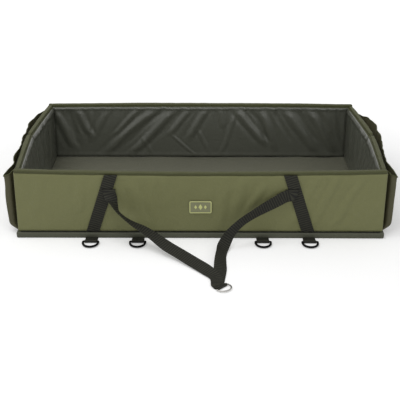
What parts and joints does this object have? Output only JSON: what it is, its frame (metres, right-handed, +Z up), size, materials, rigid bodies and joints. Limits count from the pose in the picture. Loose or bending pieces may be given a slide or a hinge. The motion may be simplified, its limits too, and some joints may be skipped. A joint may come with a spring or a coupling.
{
  "type": "unhooking mat",
  "caption": "Padded unhooking mat with raised padded walls, slanted webbing straps, carry handles and pegging rings; its long walls fold in over the base.",
  "frame": {"origin": "on the ground under the middle of the base", "axes": "+X along the mat to the viewer's right in the picture, +Y to the back, +Z up"},
  "size_m": [1.2026, 1.3318, 0.22],
  "materials": {
    "cover_cloth": "satin woven",
    "band_cloth": "satin woven",
    "lining_cloth": "smooth coated",
    "foam": "matt foam",
    "webbing": "ribbed webbing",
    "ring_black": "gloss black",
    "ring_steel": "polished",
    "badge": "satin"
  },
  "bodies": {
    "base": {"base_cover": "cover_cloth", "base_foam": "foam", "floor_lining": "lining_cloth", "left_cover": "cover_cloth", "left_foam": "foam", "left_lining": "lining_cloth", "left_band": "band_cloth", "left_pocket": "cover_cloth", "right_cover": "cover_cloth", "right_foam": "foam", "right_lining": "lining_cloth", "right_band": "band_cloth", "right_pocket": "cover_cloth", "front_1_tab": "webbing", "front_2_tab": "webbing", "front_3_tab": "webbing", "front_4_tab": "webbing", "back_1_tab": "webbing", "back_2_tab": "webbing", "back_3_tab": "webbing", "back_4_tab": "webbing"},
    "front_wall": {"front_cover": "cover_cloth", "front_foam": "foam", "front_lining": "lining_cloth", "front_band": "band_cloth", "front_strap_left": "webbing", "front_strap_right": "webbing", "front_stub_left": "webbing", "front_stub_right": "webbing", "badge": "badge"},
    "back_wall": {"back_cover": "cover_cloth", "back_foam": "foam", "back_lining": "lining_cloth", "back_band": "band_cloth", "back_strap_left": "webbing", "back_strap_right": "webbing", "back_stub_left": "webbing", "back_stub_right": "webbing"},
    "front_handle": {"front_handle_left": "webbing", "front_handle_right": "webbing"},
    "front_handle_ring": {"front_handle_ring": "ring_steel"},
    "back_handle": {"back_handle_left": "webbing", "back_handle_right": "webbing"},
    "back_handle_ring": {"back_handle_ring": "ring_steel"},
    "front_1_ring": {"front_1_ring": "ring_black"},
    "front_2_ring": {"front_2_ring": "ring_black"},
    "front_3_ring": {"front_3_ring": "ring_black"},
    "front_4_ring": {"front_4_ring": "ring_black"},
    "back_1_ring": {"back_1_ring": "ring_black"},
    "back_2_ring": {"back_2_ring": "ring_black"},
    "back_3_ring": {"back_3_ring": "ring_black"},
    "back_4_ring": {"back_4_ring": "ring_black"}
  },
  "joints": [
    {"name": "front_wall_fold", "type": "hinge", "parent": "base", "child": "front_wall", "pos_m": [0, -0.311, 0.0343], "axis": [-1, 0, 0], "range_deg": [0, 90], "deforming": ["left_cover", "left_foam", "left_lining", "left_band", "left_pocket", "right_cover", "right_foam", "right_lining", "right_band", "right_pocket"]},
    {"name": "back_wall_fold", "type": "hinge", "parent": "base", "child": "back_wall", "pos_m": [0, 0.311, 0.0343], "axis": [1, 0, 0], "range_deg": [0, 90]},
    {"name": "front_handle_lift", "type": "hinge", "parent": "front_wall", "child": "front_handle", "pos_m": [0, -0.34013, 0.163], "axis": [-1, 0, 0], "range_deg": [0, 100]},
    {"name": "back_handle_lift", "type": "hinge", "parent": "back_wall", "child": "back_handle", "pos_m": [0, 0.34013, 0.163], "axis": [-1, 0, 0], "range_deg": [-100, 0]},
    {"name": "front_handle_ring_swing", "type": "hinge", "parent": "front_handle", "child": "front_handle_ring", "pos_m": [0.05792, -0.6385, 0.00445], "axis": [-0.6947, -0.7193, 0], "range_deg": [0, 90]},
    {"name": "back_handle_ring_swing", "type": "hinge", "parent": "back_handle", "child": "back_handle_ring", "pos_m": [-0.05792, 0.6385, 0.00445], "axis": [0.6947, 0.7193, 0], "range_deg": [0, 90]},
    {"name": "front_1_ring_swing", "type": "hinge", "parent": "base", "child": "front_1_ring", "pos_m": [-0.327, -0.366, 0.005], "axis": [-1, 0, 0], "range_deg": [0, 90]},
    {"name": "front_2_ring_swing", "type": "hinge", "parent": "base", "child": "front_2_ring", "pos_m": [-0.187, -0.366, 0.005], "axis": [-1, 0, 0], "range_deg": [0, 90]},
    {"name": "front_3_ring_swing", "type": "hinge", "parent": "base", "child": "front_3_ring", "pos_m": [0.187, -0.366, 0.005], "axis": [-1, 0, 0], "range_deg": [0, 90]},
    {"name": "front_4_ring_swing", "type": "hinge", "parent": "base", "child": "front_4_ring", "pos_m": [0.327, -0.366, 0.005], "axis": [-1, 0, 0], "range_deg": [0, 90]},
    {"name": "back_1_ring_swing", "type": "hinge", "parent": "base", "child": "back_1_ring", "pos_m": [0.327, 0.366, 0.005], "axis": [1, 0, 0], "range_deg": [0, 90]},
    {"name": "back_2_ring_swing", "type": "hinge", "parent": "base", "child": "back_2_ring", "pos_m": [0.187, 0.366, 0.005], "axis": [1, 0, 0], "range_deg": [0, 90]},
    {"name": "back_3_ring_swing", "type": "hinge", "parent": "base", "child": "back_3_ring", "pos_m": [-0.187, 0.366, 0.005], "axis": [1, 0, 0], "range_deg": [0, 90]},
    {"name": "back_4_ring_swing", "type": "hinge", "parent": "base", "child": "back_4_ring", "pos_m": [-0.327, 0.366, 0.005], "axis": [1, 0, 0], "range_deg": [0, 90]}
  ],
  "couplings": [
    {"joint": "back_wall_fold", "follows": "front_wall_fold", "ratio": 1}
  ]
}
